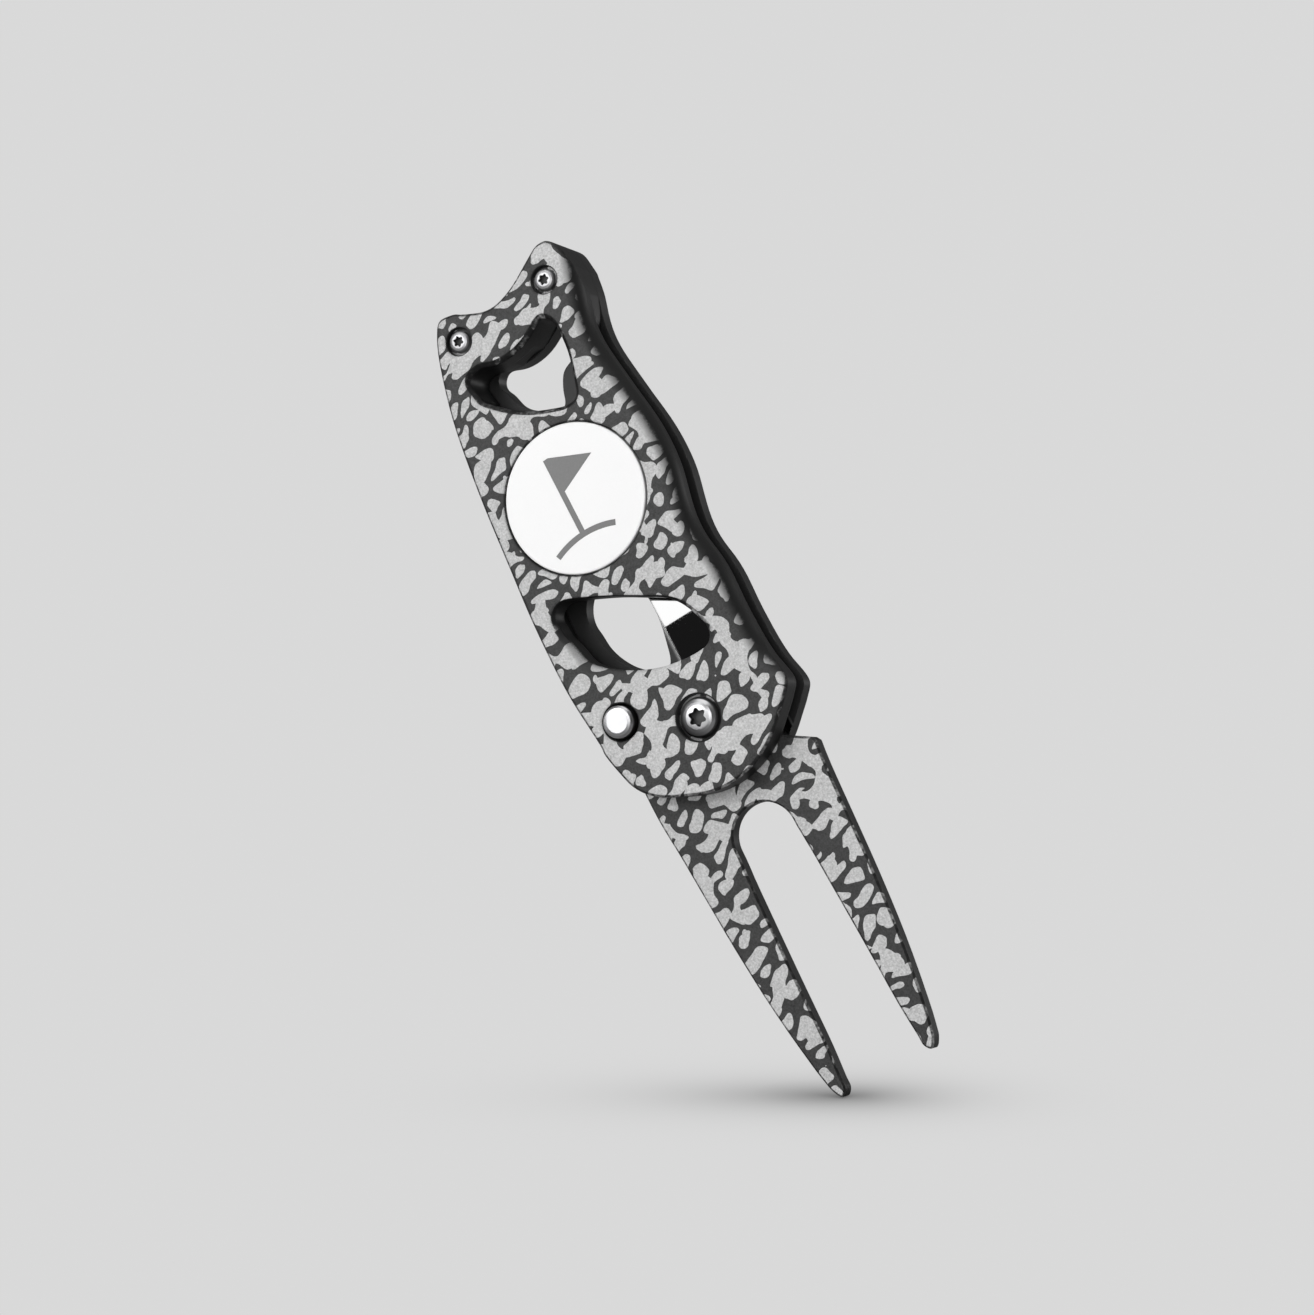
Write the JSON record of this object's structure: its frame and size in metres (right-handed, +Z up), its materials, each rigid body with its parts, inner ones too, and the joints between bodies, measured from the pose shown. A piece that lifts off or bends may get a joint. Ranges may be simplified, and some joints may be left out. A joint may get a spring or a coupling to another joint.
{
  "type": "divot repair tool",
  "caption": "Folding divot repair tool: two-pronged fork that swings into a slim handle, held by a press-button lock, with a round magnetic ball marker in the handle.",
  "frame": {"origin": "middle of the underside of the box round the open tool, level with the fork tips and midway through its thickness", "axes": "+Z up along the tool from the fork tips to the handle's top, +Y from the printed front to the back, +X to the right seen from the front, where the fingers rest"},
  "size_m": [0.0334, 0.0124, 0.1396],
  "materials": {
    "shell_print": "anodised near-black aluminium with a printed two-tone grey organic pattern on the front face",
    "shell_black": "glossy black anodised aluminium",
    "fork_print": "anodised near-black aluminium with the same printed pattern on its faces",
    "bronze": "sintered bronze",
    "dark_steel": "dark finished turned steel",
    "polished_steel": "polished stainless steel",
    "acetal": "natural acetal",
    "spring_steel": "ground steel",
    "marker_white": "white enamel on a steel disc",
    "marker_ink": "dark grey enamel",
    "magnet": "nickel plated magnet"
  },
  "bodies": {
    "handle": {"front_shell": "shell_print", "back_shell": "shell_black", "pivot_barrel": "dark_steel", "pivot_screw": "polished_steel", "pivot_washer_front": "acetal", "pivot_washer_back": "acetal", "torsion_spring": "spring_steel", "button_spring": "spring_steel", "marker_magnet": "magnet", "body_screws": "polished_steel", "screw_inserts": "dark_steel", "locating_pins": "spring_steel", "stop_pin": "spring_steel"},
    "fork": {"fork": "fork_print", "fork_bushing": "bronze"},
    "button": {"release_button": "polished_steel"},
    "marker": {"ball_marker": "marker_white", "marker_emblem": "marker_ink"}
  },
  "joints": [
    {"name": "fork_pivot", "type": "hinge", "parent": "handle", "child": "fork", "pos_m": [0.00098, 0.001, 0.0608], "axis": [0, -1, 0], "range_deg": [0, 180], "deforming": ["torsion_spring"]},
    {"name": "button_press", "type": "slide", "parent": "handle", "child": "button", "axis": [0, 1, 0], "range_m": [0, 0.002], "stiffness_N_per_m": 900, "springref_m": -0.002, "deforming": ["button_spring"]},
    {"name": "marker_lift", "type": "slide", "parent": "handle", "child": "marker", "axis": [0, -1, 0], "range_m": [0, 0.015]}
  ]
}
